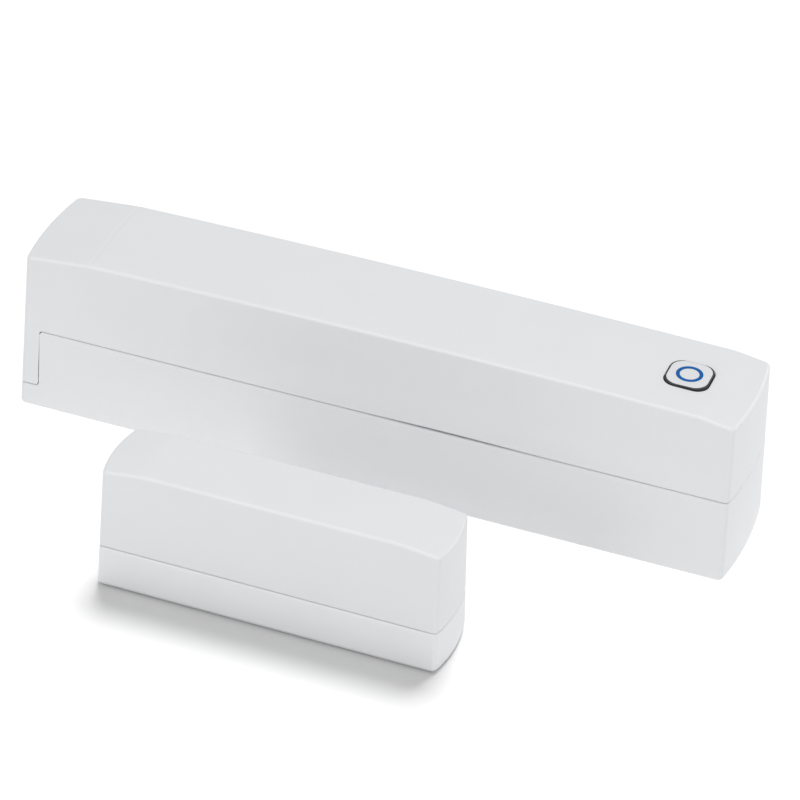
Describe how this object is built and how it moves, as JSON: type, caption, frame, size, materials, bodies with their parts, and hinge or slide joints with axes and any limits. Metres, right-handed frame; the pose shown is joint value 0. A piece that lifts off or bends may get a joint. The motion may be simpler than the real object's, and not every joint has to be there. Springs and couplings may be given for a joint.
{
  "type": "door contact sensor",
  "caption": "Slim battery-powered wireless door contact sensor with an arched roof and a button, beside the separate bar-magnet unit that triggers its reed switch.",
  "frame": {"origin": "centre of the sensor unit's mounting face, on the underside of its adhesive pad", "axes": "+X along both units from the tongued end to the button end, +Y away from the magnet unit, +Z out from the surface the units are stuck to"},
  "size_m": [0.1026, 0.0521, 0.025],
  "materials": {
    "cover_plastic": "fine satin moulded white plastic",
    "base_plastic": "fine satin moulded white plastic",
    "magnet_plastic": "fine satin moulded white plastic",
    "cap_plastic": "smooth white button cap",
    "dark_plastic": "dark grey moulded plastic",
    "ring_ink": "blue printed ring",
    "pad_foam": "white closed-cell adhesive foam",
    "cell_wrap": "printed sleeve over a steel can",
    "plated_steel": "nickel-plated spring steel",
    "board_laminate": "green solder mask over glass laminate",
    "shield_steel": "tinned sheet steel",
    "chip_resin": "black moulding resin",
    "crystal_can": "plated metal can",
    "capacitor_resin": "yellow moulding resin",
    "chip_ceramic": "fired ceramic",
    "resistor_film": "black glazed film",
    "led_lens": "clear resin lens",
    "antenna_copper": "bare copper",
    "reed_glass": "pale green sealed glass tube",
    "reed_nickel": "plated nickel-iron",
    "magnet_nickel": "nickel-plated magnet"
  },
  "bodies": {
    "sensor_base": {"sensor_base": "base_plastic", "sensor_adhesive_pad": "pad_foam", "battery_left": "cell_wrap", "battery_right": "cell_wrap", "battery_contact_negative": "plated_steel", "battery_contact_positive": "plated_steel", "battery_spring": "plated_steel", "circuit_board": "board_laminate", "radio_shield": "shield_steel", "radio_chip": "chip_resin", "microcontroller": "chip_resin", "crystal": "crystal_can", "bulk_capacitor": "capacitor_resin", "chip_capacitor_1": "chip_ceramic", "chip_capacitor_2": "chip_ceramic", "chip_capacitor_3": "chip_ceramic", "chip_resistor_1": "resistor_film", "chip_resistor_2": "resistor_film", "status_led": "led_lens", "antenna": "antenna_copper", "reed_glass": "reed_glass", "reed_contact_fixed": "reed_nickel", "reed_lead_left": "reed_nickel", "tact_switch_body": "chip_resin", "tact_switch_bracket": "plated_steel"},
    "sensor_cover": {"sensor_cover": "cover_plastic"},
    "button": {"button_collar": "dark_plastic", "button_cap": "cap_plastic", "button_ring": "ring_ink"},
    "tact_plunger": {"tact_switch_plunger": "dark_plastic"},
    "reed_blade": {"reed_blade_moving": "reed_nickel"},
    "magnet_unit": {"magnet_base": "magnet_plastic", "bar_magnet": "magnet_nickel", "magnet_adhesive_pad": "pad_foam"},
    "magnet_cover": {"magnet_cover": "magnet_plastic"}
  },
  "joints": [
    {"name": "cover_lift", "type": "slide", "parent": "sensor_base", "child": "sensor_cover", "axis": [0, 0, 1], "range_m": [0, 0.03]},
    {"name": "button_press", "type": "slide", "parent": "sensor_cover", "child": "button", "axis": [0, 0, -1], "range_m": [0, 0.00025], "stiffness_N_per_m": 1600},
    {"name": "plunger_press", "type": "slide", "parent": "sensor_base", "child": "tact_plunger", "axis": [0, 0, -1], "range_m": [0, 0.00025], "stiffness_N_per_m": 200},
    {"name": "reed_close", "type": "hinge", "parent": "sensor_base", "child": "reed_blade", "pos_m": [-0.0068, 0.0039, 0.01534], "axis": [0, -1, 0], "range_deg": [0, 0.8]},
    {"name": "magnet_travel", "type": "slide", "parent": "sensor_base", "child": "magnet_unit", "axis": [0, -1, 0], "range_m": [-0.017, 0.06]},
    {"name": "magnet_cover_lift", "type": "slide", "parent": "magnet_unit", "child": "magnet_cover", "axis": [0, 0, 1], "range_m": [0, 0.02]}
  ],
  "couplings": [
    {"joint": "plunger_press", "follows": "button_press", "ratio": 1}
  ]
}
